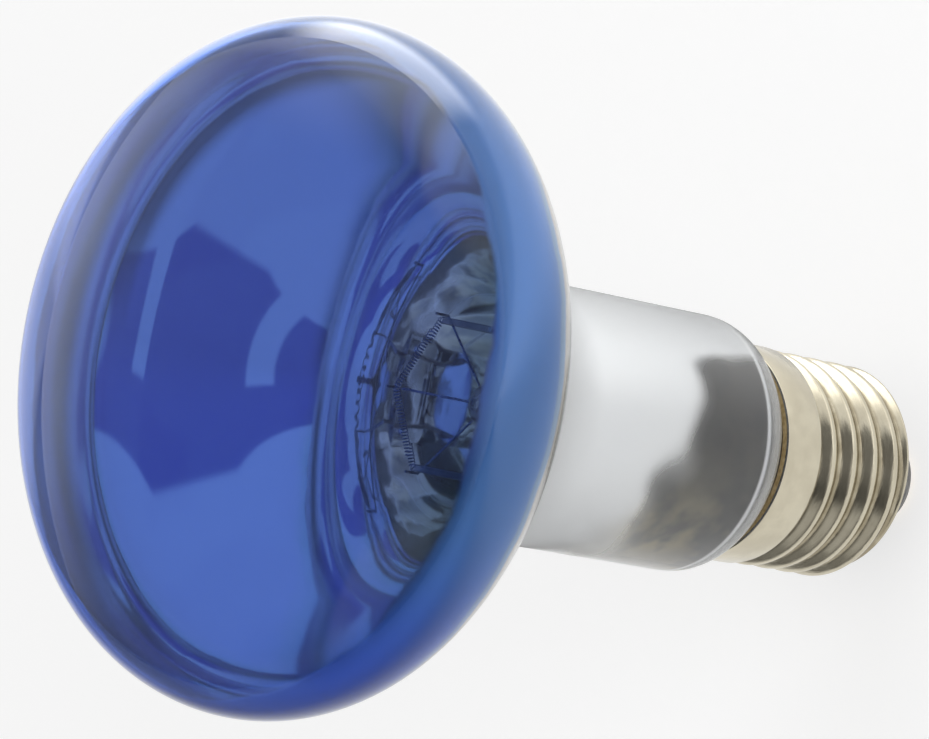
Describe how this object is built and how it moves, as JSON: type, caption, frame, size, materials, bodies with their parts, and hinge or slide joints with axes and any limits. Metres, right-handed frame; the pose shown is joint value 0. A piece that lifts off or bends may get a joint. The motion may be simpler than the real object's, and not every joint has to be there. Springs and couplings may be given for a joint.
{
  "type": "reflector bulb",
  "caption": "Mushroom-shaped reflector bulb with a blue lacquered face and a silvered back on a straight neck, closed by a right-hand screw cap with a centre contact.",
  "frame": {"origin": "centre of the flat tip of the centre contact's solder", "axes": "+Z along the bulb's axis from the cap up to the face, +X to the side where the side lead is soldered on the cap's rim"},
  "size_m": [0.08, 0.08, 0.1201],
  "materials": {
    "blue_glass": "gloss glass, blue lacquer over the face and rim, silvered inside behind it",
    "cap_nickel": "satin nickel plate on thin brass",
    "black_glass": "gloss black cast glass",
    "contact_brass": "pressed sheet",
    "solder": "dull tin solder",
    "cement": "baked basing cement",
    "stem_glass": "clear soft glass",
    "lead_wire": "nickelled wire",
    "support_wire": "drawn molybdenum wire",
    "tungsten": "wound tungsten coil"
  },
  "bodies": {
    "root": {"glass_bulb": "blue_glass", "cap_shell": "cap_nickel", "cap_insulator": "black_glass", "contact_plate": "contact_brass", "contact_solder": "solder", "side_solder": "solder", "basing_cement": "cement", "glass_stem": "stem_glass", "side_lead": "lead_wire", "centre_lead": "lead_wire", "support_wire_1": "support_wire", "support_wire_2": "support_wire", "support_wire_3": "support_wire", "filament": "tungsten"}
  },
  "joints": []
}
